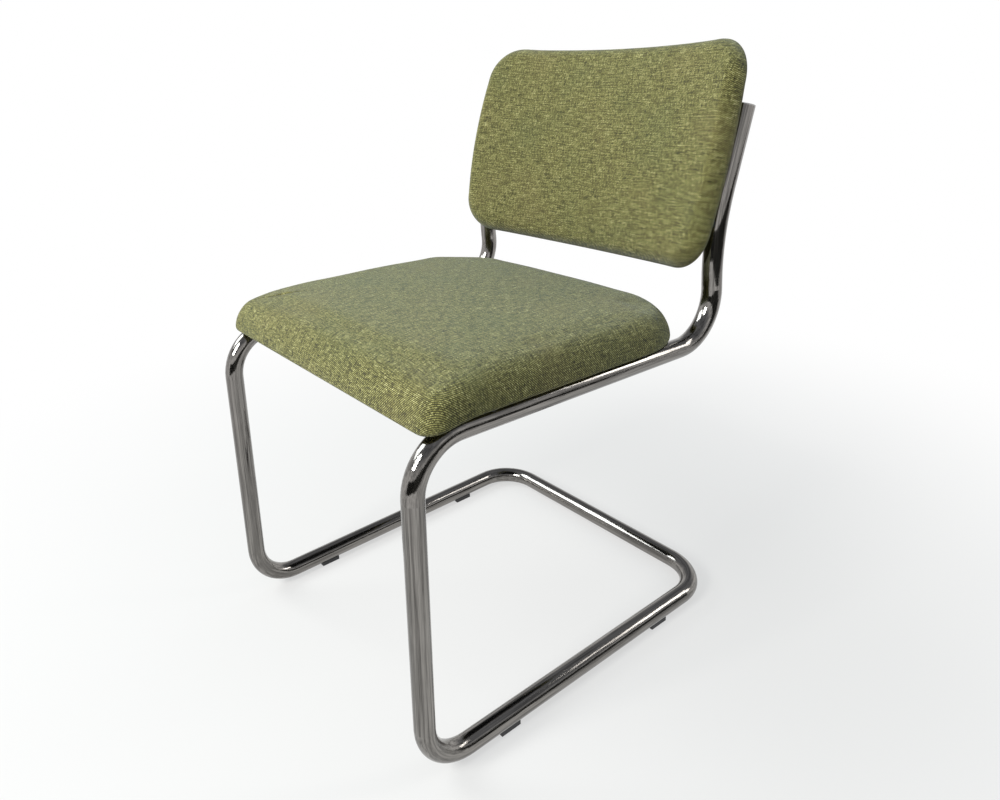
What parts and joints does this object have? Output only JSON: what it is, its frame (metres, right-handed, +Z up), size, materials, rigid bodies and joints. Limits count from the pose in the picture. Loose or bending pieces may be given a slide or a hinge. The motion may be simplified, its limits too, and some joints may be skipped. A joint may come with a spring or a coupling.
{
  "type": "cantilever chair",
  "caption": "Armless cantilever dining chair: one bent chromed steel tube carries an upholstered seat pad and a curved upholstered back pad.",
  "frame": {"origin": "on the floor, under the middle of the chair's outer box", "axes": "+Z up, the sitter faces -Y, +X is the sitter's left"},
  "size_m": [0.4696, 0.5795, 0.7765],
  "materials": {
    "chromed_tube": "polished chrome plate",
    "end_cap_chrome": "polished chrome plate",
    "glide_plastic": "matt black nylon",
    "plywood": "raw moulded plywood",
    "foam": "polyurethane foam",
    "cover_fabric": "coarse woven melange cloth, yellow-green and charcoal threads",
    "under_cloth": "thin black lining cloth",
    "spacer_rubber": "black rubber",
    "bolt_steel": "chromed countersunk heads",
    "nut_steel": "zinc plated steel"
  },
  "bodies": {
    "root": {"frame_tube": "chromed_tube", "end_caps": "end_cap_chrome", "front_glides": "glide_plastic", "rear_glides": "glide_plastic", "seat_panel": "plywood", "seat_foam": "foam", "seat_cover": "cover_fabric", "seat_under_cloth": "under_cloth", "seat_spacers": "spacer_rubber", "seat_bolts": "bolt_steel", "seat_tee_nuts": "nut_steel", "back_panel": "plywood", "back_foam": "foam", "back_cover": "cover_fabric", "back_rear_cloth": "cover_fabric", "back_spacers": "spacer_rubber", "back_bolts": "bolt_steel", "back_tee_nuts": "nut_steel"}
  },
  "joints": []
}
